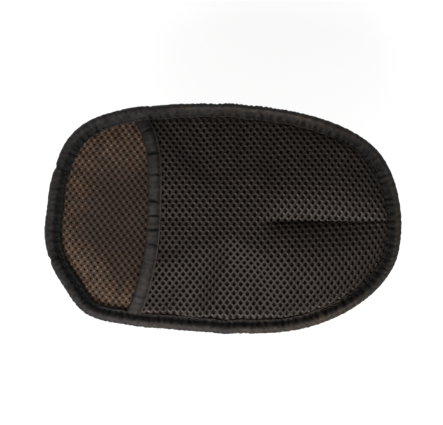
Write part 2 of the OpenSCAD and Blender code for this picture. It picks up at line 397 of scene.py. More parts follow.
BACK = Sheet(back_height)
PALM = Sheet(palm_height)
settle_sheets()

# ---- Meshes ----


def mesh_object(name, points, faces, relief, painted_light=None):
    """A smooth-shaded object from millimetre points.

    relief is 0 in hollows and 1 on crests, which the tape and mesh materials paint as shade in the hollows
    and highlight on the crests; the last argument is 1 where the material paints extra light on the fabric."""
    mesh = bpy.data.meshes.new(name)
    mesh.from_pydata((np.asarray(points) * MM).tolist(), [], [list(map(int, f)) for f in faces])
    mesh.shade_smooth()
    for title, values in (("relief", relief), ("painted_light", np.zeros(len(points)) if painted_light is None else painted_light)):
        attribute = mesh.attributes.new(title, "FLOAT", "POINT")
        attribute.data.foreach_set("value", np.asarray(values, np.float32))
    return add_object(name, mesh)


def quads(a, b):
    """Faces between two index rings of the same shape, closed along their last axis."""
    a2, b2 = np.roll(a, -1, axis=-1), np.roll(b, -1, axis=-1)
    return np.stack([a, a2, b2, b], axis=-1).reshape(-1, 4)


class Cells:
    """A sheet of equal cells round a lattice's points. Neighbours share their outer points."""

    KEYS_PER_MM = 200            # points in the same step of this grid are one point
    KEY_SHIFT = 0.283            # keeps the lattice's points off the grid's lines

    def __init__(self, centres, corner_ring):
        self.centres = centres
        self.n = len(corner_ring)
        outer = centres[:, None, :] + corner_ring[None]
        keys = np.floor(outer.reshape(-1, 2) * self.KEYS_PER_MM + self.KEY_SHIFT).astype(int)
        _, first, where = np.unique(keys, axis=0, return_index=True, return_inverse=True)
        self.top = where.reshape(len(centres), self.n)
        self.uv = [outer.reshape(-1, 2)[first]]
        self.w = [np.zeros(len(first))]
        self.count = len(first)
        self.faces = []

    def add(self, uv, w):
        """Adds points at heights w, and returns the first one's index."""
        self.uv.append(uv)
        self.w.append(w)
        self.count += len(uv)
        return self.count - len(uv)

    def ring(self, offsets, height):
        """Adds a ring of points to each cell, and returns their indices."""
        uv = (self.centres[:, None, :] + offsets).reshape(-1, 2)
        first = self.add(uv, np.broadcast_to(height, (len(self.centres), self.n)).ravel())
        return first + np.arange(len(uv)).reshape(-1, self.n)

    def floor(self, height):
        """Adds a copy of the shared outer points at that height, and returns their indices for each cell."""
        return self.add(self.uv[0], np.full(len(self.uv[0]), height)) + self.top

    def walls(self, floor, below=True):
        """Closes the sheet's outer edge between its top and its floor, which may lie above it."""
        a, b = self.top.ravel(), np.roll(self.top, -1, axis=1).ravel()
        fa, fb = floor.ravel(), np.roll(floor, -1, axis=1).ravel()
        pair = np.sort(np.stack([a, b], axis=1), axis=1)
        _, where, times = np.unique(pair, axis=0, return_inverse=True, return_counts=True)
        edge = times[where.ravel()] == 1
        wall = np.stack([b, a, fa, fb] if below else [a, b, fb, fa], axis=1)
        self.faces.append(wall[edge])

    def middles(self, ids, height):
        """Closes each ring to a point in its cell's middle."""
        first = self.add(self.centres, np.broadcast_to(height, len(self.centres)))
        m = np.repeat(first + np.arange(len(self.centres))[:, None], self.n, axis=1)
        return np.stack([ids, np.roll(ids, -1, axis=1), m], axis=-1).reshape(-1, 3)

    def all(self):
        faces = [face for part in self.faces for face in part.tolist()]
        return np.concatenate(self.uv), np.concatenate(self.w), faces


def lattice(pitch, centre):
    """Points of a staggered grid over the whole mitt."""
    rows = int(200 / pitch[1])
    cols = int(300 / pitch[0] / 2)
    points = []
    for j in range(-rows, rows + 1):
        for i in range(-cols, cols + 1):
            points.append(((i + (j % 2) / 2) * pitch[0], j * pitch[1] / 2))
    return np.array(points) + centre


def with_middles(corners):
    """The corners and the middles of the sides between them, in order."""
    middles = (corners + np.roll(corners, -1, axis=0)) / 2
    return np.stack([corners, middles], axis=1).reshape(-1, 2)


def cell_corners(pitch):
    """Twelve points round a staggered grid's cell."""
    a, b = pitch[0] / 2, pitch[1] / 2
    tip = (a * a + b * b) / 2 / b
    shoulder = (b * b - a * a) / 2 / b
    corners = [(0, tip), (-a, shoulder), (-a, -shoulder), (0, -tip), (a, -shoulder), (a, shoulder)]
    return with_middles(np.array(corners))


# ---- Air mesh ----

# How far the net stands up at each point of cell_corners(). The back's strands are higher one way than the
# other, and the palm's net has knots.
STRAND_RISE = np.tile([0.14, 0.0, 0.08, 0.16, 0.08, 0.34], 2)
KNOT_RISE = np.tile([0.02, 0.0, 0.16, 0.32, 0.16, 0.0], 2)
LIP_DEPTH = 0.6              # how deep a cell's top rounds over into its hole


def air_mesh(centres, pitch, hole, thickness, rise, place):
    """A closed net: each cell has a rounded rim round a through hole. place puts fabric points in space."""
    corners = cell_corners(pitch)
    cells = Cells(centres, corners)
    angle = np.arctan2(corners[:, 1] / pitch[1], corners[:, 0] / pitch[0])
    ellipse = np.column_stack([np.cos(angle) * hole[0], np.sin(angle) * hole[1]])
    shoulder = corners * 0.42 + ellipse * 0.58
    top_height = np.zeros(len(cells.uv[0]))
    top_height[cells.top] = rise
    cells.w[0] = top_height
    mid = cells.ring(shoulder, rise * 0.6 - 0.12)
    lip = cells.ring(ellipse, -LIP_DEPTH)
    deep = cells.ring(ellipse * 1.08, -thickness + 0.2)
    floor = cells.floor(-thickness)
    cells.faces += [quads(cells.top, mid), quads(mid, lip), quads(lip, deep), quads(deep, floor)]
    cells.walls(floor)
    uv, w, faces = cells.all()
    relief = np.clip((w + LIP_DEPTH) / (rise.max() + LIP_DEPTH), 0, 1)
    return place(uv, w), faces, relief


DART_TAN = 0.055             # half the angle of the wedge that the dart closes
DART_SPAN = 46.0             # how far from the seam the rows bend towards it
DART_SOFT = 0.9              # how near the seam the fabric starts to close up


def sew_dart(uv):
    """Where flat fabric points lie once the dart is sewn: both sides close on the seam."""
    off = uv[:, 1] - DART_Y
    gap = DART_TAN * np.clip(uv[:, 0] - DART_APEX, 0, None)
    away = np.abs(off) - gap
    soft = np.clip(gap, 1e-3, DART_SOFT)
    closed = squeeze(away, 0, soft) - squeeze(-gap, 0, soft)
    closed = np.where(away < DART_SPAN, closed * (1 + gap / DART_SPAN), np.abs(off))
    return np.column_stack([uv[:, 0], DART_Y + np.sign(off) * closed]), away


def dart_dip(xy, deep, wide):
    """How far the fabric dips along the dart's seam."""
    return deep * pulse(xy[:, 1], DART_Y, wide) * ease(xy[:, 0], DART_APEX, DART_APEX + 16)


def place_back(uv, w):
    """Back mesh points in space. The fabric dips into the dart's seam, and thins where it is sewn."""
    xy = keep_inside(sew_dart(uv)[0], NET_EDGE, NET_SOFT)
    depth = rim_depth(xy)
    thin = 0.35 + 0.65 * ease(depth, RIM_W - 1, RIM_W + 6)
    held_down = 0.5 * (1 - ease(depth, RIM_W - 0.5, RIM_W + 1.5))
    return BACK.at(xy, w * thin - dart_dip(xy, 0.6, 0.8) - held_down)


# From a cell's middle to its far corner.
CELL_REACH = (NET_PITCH[0] ** 2 + NET_PITCH[1] ** 2) / 4 / NET_PITCH[1]
NET_EDGE, NET_SOFT = FABRIC_EDGE - 1, 1.2    # where the nets end, and how softly their last cells close up


def back_cells():
    centres = lattice(NET_PITCH, np.array([0.6, DART_Y + 1.5]))
    sewn, away = sew_dart(centres)
    wedge = (centres[:, 0] > DART_APEX) & (away < -CELL_REACH)
    return centres[(rim_depth(sewn) > FABRIC_EDGE - 0.5) & (past_mouth(sewn) > 1.2) & ~wedge]


def turn_palm(uv):
    """Fabric points of the palm lining, turned as it is cut."""
    c, s = math.cos(PALM_TURN), math.sin(PALM_TURN)
    return uv @ np.array([[c, s], [-s, c]])


def place_palm(uv, w):
    xy = keep_inside(turn_palm(uv), NET_EDGE, NET_SOFT)
    thin = 0.4 + 0.6 * ease(rim_depth(xy), RIM_W - 1, RIM_W + 2)
    return PALM.at(xy, w * thin)


def palm_cells():
    centres = lattice(PALM_PITCH, np.array([1.3, DART_Y]))
    return centres[rim_depth(turn_palm(centres)) > FABRIC_EDGE - 0.5]


# ---- Plain sheets ----


def disc(inner, edge, rings, steps):
    """Floor plan points from inner out to a closed edge, in rings, with their faces."""
    angle = np.linspace(0, TURN, steps, endpoint=False)
    direction = np.column_stack([np.cos(angle), np.sin(angle)])
    reach = edge(inner, direction)
    share = (np.arange(1, rings + 1) / rings) ** 0.8
    flat = [inner] + [inner + direction[k] * reach[k] * u for u in share for k in range(steps)]
    ids = 1 + np.arange(rings * steps).reshape(rings, steps)
    faces = [[0, int(a), int(b)] for a, b in zip(ids[0], np.roll(ids[0], -1))]
    for r in range(rings - 1):
        faces += quads(ids[r], ids[r + 1])[:, ::-1].tolist()
    return np.array(flat), faces, ids[-1]


def solid_sheet(name, flat, faces, rim, top, bottom):
    """A closed sheet between two surfaces over the same floor plan."""
    count = len(flat)
    points = np.vstack([top, bottom])
    under = [[i + count for i in reversed(f)] for f in faces]
    a, b = rim, np.roll(rim, -1)
    walls = np.stack([a, a + count, b + count, b], axis=1).tolist()
    return mesh_object(name, points, faces + under + walls, np.full(2 * count, 0.5))


def reach_to_rim(margin):
    """Distances from a point to the outline drawn in by margin."""
    def reach(inner, direction):
        table = polar(RIM + RIM_IN * margin, inner)
        return radius_at(table, direction)
    return reach


def reach_to_mouth(inner, direction):
    """Distances from a point to the panel's edge: its sewn edge, or its mouth where that is nearer."""
    reach = reach_to_rim(FABRIC_EDGE)(inner, direction)
    steps = np.linspace(0.02, 1, 240)
    for k, (d, r) in enumerate(zip(direction, reach)):
        ray = inner + np.outer(steps * r, d)
        out = np.flatnonzero(past_mouth(ray) < 0.5)
        if len(out):
            reach[k] = r * steps[out[0]]
    return reach


# ---- Cutting and finishing ----


def cut_in_two(piece, x, rear_name, front_name):
    """Cuts a closed piece across at x into two closed pieces whose edges meet without a mark."""
    made = []
    for name, keep_front in ((rear_name, False), (front_name, True)):
        bm = bmesh.new()
        bm.from_mesh(piece.data)
        cut = bmesh.ops.bisect_plane(
            bm, geom=bm.verts[:] + bm.edges[:] + bm.faces[:], dist=1e-7, plane_co=(x * MM, 0, 0),
            plane_no=(1, 0, 0), clear_inner=keep_front, clear_outer=not keep_front)
        rim = [e for e in cut["geom_cut"] if isinstance(e, bmesh.types.BMEdge)]
        caps = bmesh.ops.holes_fill(bm, edges=rim, sides=0)["faces"]
        for face in caps:
            face.smooth = False
            for edge in face.edges:
                edge.smooth = False
        mesh = bpy.data.meshes.new(name)
        bm.to_mesh(mesh)
        bm.free()
        made.append(add_object(name, mesh))
    bpy.data.objects.remove(piece)
    return made


def bend(piece, body, start_x, end_x):
    """Bakes the piece's transform into its points; it does not bend it. body, start_x and end_x are not used.
    """
    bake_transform(piece)


def bend_with_fingers(piece):
    bend(piece, "fingers", *KNUCKLE_ZONE)


def bend_with_wrist(piece):
    bend(piece, "wrist_flap", *WRIST_ZONE)


def bend_with_mouth(piece):
    """Hands the piece to bend() with the mouth's zone, from the knuckle zone's start to the mouth's upper
    corner.
    """
    bend(piece, "mouth", KNUCKLE_ZONE[0], MOUTH_UPPER[0])


def finish(piece, bend_it, material, slot, *nodes):
    """Passes a piece to bend_it, gives it its material, and lets it stand for its CAD nodes by hiding them.
    """
    bend_it(piece)
    piece.data.materials.clear()
    piece.data.materials.append(material)
    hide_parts(*nodes)


def finish_back(piece, material):
    """Cuts a sheet of the back panel in two and finishes both halves, each for one CAD node."""
    name = piece.name
    rear, front = cut_in_two(piece, KNUCKLE_ZONE[0], name + "_rear", name + "_front")
    finish(rear, bend_with_mouth, material, name, name + "_mouth")
    finish(front, bend_with_fingers, material, name, name + "_fingers")


def finish_palm(piece, material, slot):
    """Cuts a sheet of the palm in two and finishes both halves, for three CAD nodes."""
    name = piece.name
    rear, front = cut_in_two(piece, REAR_CUT, name + "_rear", name + "_front")
    finish(rear, bend_with_wrist, material, slot, name + "_wrist")
    finish(front, bend_with_fingers, material, slot, name + "_palm", name + "_fingers")


# ---- Materials ----


class Paint:
    """A small wrapper that builds a material's nodes."""

    def __init__(self, name):
        self.material = bpy.data.materials.new(name)
        self.material.use_nodes = True
        self.tree = self.material.node_tree
        self.shader = self.tree.nodes["Principled BSDF"]
        self.place = self.add("ShaderNodeTexCoord").outputs["Object"]

    def add(self, kind, inputs=None, **settings):
        node = self.tree.nodes.new(kind)
        for key, value in settings.items():
            setattr(node, key, value)
        for key, value in (inputs or {}).items():
            self.set(node.inputs[key], value)
        return node

    def set(self, socket, value):
        if isinstance(value, bpy.types.NodeSocket):
            self.tree.links.new(value, socket)
        else:
            socket.default_value = value

    def use(self, **inputs):
        for key, value in inputs.items():
            self.set(self.shader.inputs[key.replace("_", " ")], value)

    def noise(self, size_mm, detail=3.0, rough=0.55, place=None):
        node = self.add("ShaderNodeTexNoise", {
            "Vector": place or self.place, "Scale": 1 / (size_mm * MM), "Detail": detail, "Roughness": rough})
        return node.outputs["Fac"]

    def stretched(self, scale, turn=0.0):
        node = self.add("ShaderNodeMapping", {
            "Vector": self.place, "Rotation": (0, 0, turn), "Scale": scale})
        return node.outputs["Vector"]

    def wave(self, size_mm, place=None, direction="X", distortion=1.0):
        node = self.add("ShaderNodeTexWave", {
            "Vector": place or self.place, "Scale": 0.314 / (size_mm * MM), "Distortion": distortion,
            "Detail": 1.0}, bands_direction=direction)
        return node.outputs["Fac"]

    def attribute(self, name):
        return self.add("ShaderNodeAttribute", attribute_name=name).outputs["Fac"]

    def ramp(self, value, *stops):
        node = self.add("ShaderNodeValToRGB", {"Fac": value})
        elements = node.color_ramp.elements
        while len(elements) < len(stops):
            elements.new(0.5)
        for element, (at, colour) in zip(elements, stops):
            element.position = at
            element.color = (*colour, 1)
        return node.outputs["Color"]

    def mix(self, share, a, b, blend="MIX"):
        node = self.add("ShaderNodeMix", data_type="RGBA", blend_type=blend)
        for socket, value in zip([node.inputs[0], node.inputs[6], node.inputs[7]], (share, a, b)):
            self.set(socket, value)
        return node.outputs[2]

    def shade(self, value, dark, light):
        """A grey that goes from dark to light, each given as (value, level)."""
        return self.ramp(value, *[(at, grey(level)) for at, level in (dark, light)])

    def times(self, a, b):
        return self.mix(1.0, a, b, "MULTIPLY")

    def maths(self, operation, a, b=0.0):
        node = self.add("ShaderNodeMath", {0: a, 1: b}, operation=operation)
        return node.outputs[0]

    def bump(self, height, strength, depth_mm):
        node = self.add("ShaderNodeBump", {"Height": height, "Strength": strength, "Distance": depth_mm * MM})
        self.use(Normal=node.outputs["Normal"])


def grey(level, warm=0.0):
    """A near-neutral colour, a little warmer where warm is above 0."""
    return (level * (1 + warm), level, level * (1 - warm))


BLUISH = (0.92, 0.965, 1.1)
BROWNISH = (1.08, 0.985, 0.93)


def tape_material(name, level, warm, crest):
    """Folded knit tape with fine ribs: bluer towards the heel, with painted shade where its relief is low and
    a painted highlight, the given number of times paler, where it is high.
    """
    p = Paint(name)
    # painted shade at low relief, painted highlight at high relief
    body = p.ramp(p.attribute("relief"), (0.0, grey(level * 0.25, warm)), (0.5, grey(level, warm)),
                  (1.0, grey(level * crest, warm)))
    lengthwise = p.add("ShaderNodeSeparateXYZ", {0: p.place}).outputs["X"]
    ends = p.maths("ADD", p.maths("MULTIPLY", lengthwise, 1.6), p.noise(14, 3))
    cast = p.ramp(ends, (0.36, BLUISH), (0.7, BROWNISH))
    body = p.times(body, cast)
    patch = p.shade(p.noise(3.5, 5, 0.65), (0.32, 0.55), (0.68, 1.4))
    fuzz = p.shade(p.noise(0.5, 2), (0.35, 0.7), (0.7, 1.3))
    colour = p.times(p.times(body, patch), fuzz)
    ribs = p.maths("ADD", p.wave(0.7, direction="X"), p.wave(0.7, direction="Y"))
    puckers = p.maths("MULTIPLY", p.noise(2.2, 3), 3.0)
    p.bump(p.maths("ADD", p.maths("ADD", ribs, p.noise(0.4, 2)), puckers), 0.4, 0.3)
    p.use(Base_Color=colour, Roughness=0.62, Sheen_Weight=0.02, Sheen_Roughness=0.5, Specular_IOR_Level=0.1)
    return p.material


def mesh_material(name, hollow_shade, strand, crest, painted_light_tint, rough, cast_share):
    """Knitted air mesh: shiny filaments with a painted highlight on their crests and painted shade down in
    the holes, and the knit's own fine loops.

    The tint paints extra light where the mesh is marked for it, and cast_share is how much its hue wanders."""
    p = Paint(name)
    # painted shade down in the holes, painted highlight on the strands' crests
    body = p.ramp(p.attribute("relief"), (0.1, hollow_shade), (0.5, strand), (0.72, strand), (1.0, crest))
    patch = p.shade(p.noise(22, 3), (0.3, 0.82), (0.7, 1.15))
    loops = p.noise(0.45, 2, place=p.stretched((1, 0.45, 1), 0.93))
    fleck = p.shade(p.noise(1.0, 3), (0.36, 0.62), (0.66, 1.38))
    colour = p.times(p.times(body, patch), fleck)
    cast = p.ramp(p.noise(7, 3), (0.36, (0.93, 1.0, 1.04)), (0.64, (1.06, 1.0, 0.9)))
    colour = p.mix(cast_share, colour, p.times(colour, cast))
    # painted light: the tint brightens the colour where extra light is painted, broken up by noise
    painted_light_share = p.maths("MULTIPLY", p.attribute("painted_light"), p.shade(p.noise(9, 3), (0.35, 0.3), (0.6, 1)))
    colour = p.mix(painted_light_share, colour, p.times(colour, (*painted_light_tint, 1)))
    p.bump(loops, 0.5, 0.2)
    p.use(Base_Color=colour, Roughness=rough, Sheen_Weight=0.01, Specular_IOR_Level=0.14)
    return p.material


def lining_material():
    """Black tricot behind the air mesh."""
    p = Paint("black_tricot")
    ribs = p.wave(0.5, direction="Y")
    colour = p.mix(p.noise(6), (0.0085, 0.005, 0.0035, 1), (0.016, 0.0095, 0.007, 1))
    p.bump(ribs, 0.4, 0.1)
    p.use(Base_Color=colour, Roughness=0.9, Specular_IOR_Level=0.15)
    return p.material


def foam_material():
    """Dark brown open-cell foam."""
    p = Paint("brown_foam")
    cells = p.add("ShaderNodeTexVoronoi", {"Vector": p.place, "Scale": 1 / (0.6 * MM)}).outputs["Distance"]
    colour = p.ramp(cells, (0.0, (0.02, 0.011, 0.006)), (0.5, (0.06, 0.035, 0.02)))
    stain = p.shade(p.noise(25), (0.3, 0.8), (0.7, 1.1))
    p.bump(cells, 0.6, 0.3)
    p.use(Base_Color=p.times(colour, stain), Roughness=0.95, Specular_IOR_Level=0.1)
    return p.material


def rubber_material():
    """Moulded brown rubber: matt and slightly mottled, polished on the nubs' tips."""
    p = Paint("brown_rubber")
    body = p.ramp(p.attribute("relief"), (0.0, (0.075, 0.034, 0.017)), (1.0, (0.12, 0.058, 0.03)))
    mottle = p.shade(p.noise(9, 4), (0.3, 0.85), (0.7, 1.12))
    rough = p.maths("SUBTRACT", 0.62, p.maths("MULTIPLY", p.attribute("relief"), 0.2))
    p.bump(p.noise(0.5, 4), 0.25, 0.12)
    p.use(Base_Color=p.times(body, mottle), Roughness=rough, Specular_IOR_Level=0.5)
    return p.material


def thread_material(name, level):
    """Spun polyester thread with its twist."""
    p = Paint(name)
    twist = p.wave(0.35, p.stretched((1, 1, 1), 0.8), distortion=2.0)
    colour = p.mix(twist, (*grey(level * 0.7), 1), (*grey(level * 1.4), 1))
    p.bump(twist, 0.6, 0.1)
    p.use(Base_Color=colour, Roughness=0.5, Sheen_Weight=0.02, Specular_IOR_Level=0.2)
    return p.material


# The crest numbers set how much paler the painted highlight makes each tape's crests.
TAPE = tape_material("rim_tape", level=0.018, warm=0.17, crest=2.2)
MOUTH_TAPE = tape_material("mouth_tape", level=0.0086, warm=0.17, crest=4.6)
# Each net's hollow colour is painted shade, its crest colour a painted highlight, and its tint painted light.
BACK_NET = mesh_material(
    "black_air_mesh", hollow_shade=(0.0052, 0.003, 0.0019), strand=(0.0192, 0.0145, 0.0117),
    crest=(0.09, 0.0775, 0.071), painted_light_tint=(2.3, 2.42, 2.55), rough=0.5, cast_share=0.3)
PALM_NET = mesh_material(
    "brown_air_mesh", hollow_shade=(0.0225, 0.0138, 0.0098), strand=(0.0245, 0.0155, 0.0114),
    crest=(0.105, 0.082, 0.0705), painted_light_tint=(2.35, 2.2, 1.92), rough=0.7, cast_share=1.0)
LINING = lining_material()
FOAM = foam_material()
RUBBER = rubber_material()
THREAD = thread_material("black_thread", 0.014)
ELASTIC = thread_material("black_elastic", 0.02)

# ---- Back panel ----


def back_painted_highlight(xy):
    """Where the back gets a painted highlight: in a narrow row right above the dart, and along the lower
    seam.
    """
    x, y = xy[:, 0], xy[:, 1]
    above_dart = np.exp(-np.clip(y - DART_Y, 0, None) / 5.5) * (y > DART_Y)
    above_dart *= ease(x, DART_APEX - 8, DART_APEX + 4)
    lower_seam = 0.9 * pulse(rim_depth(xy), RIM_W + 1.5, 2.2) * ease(y, -35, -55)
    return np.clip(above_dart + lower_seam, 0, 1)


def make_back_mesh():
    points, faces, relief = air_mesh(back_cells(), NET_PITCH, (0.66, 1.3), 1.5, STRAND_RISE, place_back)
    painted_light = back_painted_highlight(points[:, :2])
    # Painted shade: the crests are drawn darker towards the -Y side, except where the highlight is painted.
    painted_low_shade = 0.08 * ease(points[:, 1], 5, -25) * (1 - painted_light)
    piece = mesh_object("back_mesh", points, faces, relief - painted_low_shade, painted_light)
    finish_back(piece, BACK_NET)


def make_back_lining():
    flat, faces, rim = disc(CROWN, reach_to_mouth, 40, 240)
    free = ease(rim_depth(flat), RIM_W - 1, RIM_W + 7)
    dip = dart_dip(flat, 1.2, 1.5)
    top = BACK.at(flat, -0.7 - 1.2 * free - dip)
    bottom = BACK.at(flat, -0.9 - 1.8 * free - dip)
    piece = solid_sheet("back_lining", flat, faces, rim, top, bottom)
    finish_back(piece, LINING)


# ---- Palm ----


def make_palm_lining():
    points, faces, relief = air_mesh(palm_cells(), PALM_PITCH, (0.5, 0.72), 1.0, KNOT_RISE, place_palm)
    # Painted light: the lining is drawn lighter near the rim and towards its upper and lower edges, which
    # leaves its middle by the mouth in painted shade.
    near_rim = 1 - ease(rim_depth(points[:, :2]), RIM_W, RIM_W + 30)
    lower, upper = ease(points[:, 1], -12, -47), ease(points[:, 1], 22, 52)
    painted_light = np.clip(0.9 * near_rim + 0.7 * lower + 0.6 * upper, 0, 1.3)
    piece = mesh_object("palm_lining", points, faces, relief, painted_light)
    finish_palm(piece, PALM_NET, "palm_lining")


def make_padding():
    flat, faces, rim = disc(np.zeros(2), reach_to_rim(PAD_EDGE), 30, 200)
    top = PALM.at(flat, -1.3)
    bottom = np.column_stack([flat, np.full(len(flat), Z_FOAM + 0.05)])
    piece = solid_sheet("padding", flat, faces, rim, top, bottom)
    finish_palm(piece, FOAM, "padding")


NUB_PITCH = 9.5
NUB_LATTICE = (NUB_PITCH, NUB_PITCH * math.sqrt(3))
NUB_ROOT_R = 2.5


def nub_centres():
    """Nub positions in the CAD pads: the middles of the tips on the floor."""
    points = cad_points("nub_pad_wrist", "nub_pad_palm", "nub_pad_fingers")
    tips = points[points[:, 2] < 0.01][:, :2]
    row = NUB_LATTICE[1] / 2
    j = np.round(tips[:, 1] / row)
    i = np.round(tips[:, 0] / NUB_PITCH - (np.abs(j) % 2) / 2)
    spots = np.unique(np.column_stack([i, j]), axis=0)
    return np.column_stack([(spots[:, 0] + (np.abs(spots[:, 1]) % 2) / 2) * NUB_PITCH, spots[:, 1] * row])


def nub_cell_ring():
    """Twelve points round a hexagonal cell."""
    angle = math.pi / 2 + np.arange(6) * TURN / 6
    return with_middles(np.column_stack([np.cos(angle), np.sin(angle)]) * NUB_PITCH / math.sqrt(3))


# Radius and height of a nub's rings, as shares of its root radius and of its height.
NUB_RINGS = [(1.35, 1.0), (1.08, 0.96), (0.96, 0.84), (0.84, 0.6), (0.7, 0.32), (0.58, 0.1), (0.42, 0.02)]


def make_nub_pad():
    """One moulded sheet, cell by cell. A cell without a nub, at a bend line or the rim, stays flat."""
    z_pad = Z_FOAM - PAD_T
    centres = lattice(NUB_LATTICE, np.zeros(2))
    centres = centres[rim_depth(centres) > -1.0]
    nubs = nub_centres()
    has_nub = (((centres[:, None] - nubs[None]) ** 2).sum(2).min(1) < 1)[:, None]
    corners = nub_cell_ring()
    cells = Cells(centres, corners)
    cells.w[0] += z_pad
    last = cells.top
    for radius, height in NUB_RINGS:
        ids = cells.ring(unit(corners) * radius * NUB_ROOT_R, np.where(has_nub, height * z_pad, z_pad))
        cells.faces.append(quads(ids, last))
        last = ids
    cells.faces.append(cells.middles(last, np.where(has_nub[:, 0], 0, z_pad))[:, ::-1])
    top = cells.floor(Z_FOAM)
    cells.walls(top, below=False)
    cells.faces.append(cells.middles(top, Z_FOAM))
    uv, z, faces = cells.all()
    points = np.column_stack([keep_inside(uv, PAD_EDGE, 2.0), z])
    piece = mesh_object("nub_pad", points, faces, np.clip(1 - z / z_pad, 0, 1))
    finish_palm(piece, RUBBER, "nub_pad")


# ---- Rim binding ----


def gathers(run, length, every, width, seed):
    """Small pleats across a tape: 0 between them and 1 in each one's fold, at uneven spacings and depths."""
    rng = np.random.default_rng(seed)
    total = np.zeros_like(run)
    at = every * 0.5
    while at < length - every * 0.4:
        total += pulse(run, at, width * rng.uniform(0.7, 1.3)) * rng.uniform(0.45, 1.0)
        at += every * rng.uniform(0.75, 1.3)
    return total


ROLL_A = 3.3                 # how far in from the outer edge the rim's roll has its crest
RIM_PROUD = 0.5              # how far the roll stands out past the sewn outline, before creases draw it in
HEEL_WIDER = 1.2             # how much wider the tape lies round the heel
TOE_WIDER = 0.8
# The tape folds over on itself at two corners of the heel and at its join by the mouth: x, y, depth, width.
TAPE_FOLDS = ((-118, -28, 1.0, 1.6), (-113, 35, 1.0, 1.6), (-49, 73, 0.6, 1.1))


def crumple(run, length, across, seed):
    """Soft creases at every angle over a tape, about 1 high, that join up after length."""
    rng = np.random.default_rng(seed)
    total = np.zeros((len(run), len(across)))
    for _ in range(14):
        turns = rng.integers(round(length / 14), round(length / 3.2))
        slant = rng.uniform(-1.3, 1.3)
        phase = rng.uniform(0, TURN)
        total += np.sin(TURN * (run[:, None] * turns / length + across[None] * slant / 5) + phase)
    return total / 4


def rim_section():
    """The tape's outer and inner faces as (in from the outline, height), from below round to the top."""
    mid, half = (Z_RIM_LOW + Z_RIM_TOP) / 2, (Z_RIM_TOP - Z_RIM_LOW) / 2
    turn = np.radians(np.linspace(-90, -270, 13))
    arc = np.column_stack([ROLL_A + ROLL_A * np.cos(turn), mid + half * np.sin(turn)])
    under = np.array([(RIM_W, 0.75), (RIM_W - 1.4, 0.55), (6.0, 0.3), (4.6, 0.1)]) + (0, Z_RIM_LOW)
    over = np.array([(4.4, -0.15), (5.4, -0.6), (6.3, -1.3), (7.0, -1.85), (7.6, -2.1), (8.2, -1.85),
                     (8.8, -1.85), (RIM_W + 0.2, -2.25)]) + (0, Z_RIM_TOP)
    outer = np.vstack([under, arc, over])
    inner = outer.copy()[::-1]
    centre = np.array([ROLL_A + 2.5, mid])
    inner = centre + (inner - centre) * np.array([0.72, 0.74])
    inner[0] = (RIM_W + 0.2, Z_RIM_TOP - 2.9)
    inner[-1] = (RIM_W, Z_RIM_LOW + 1.6)
    return outer, inner


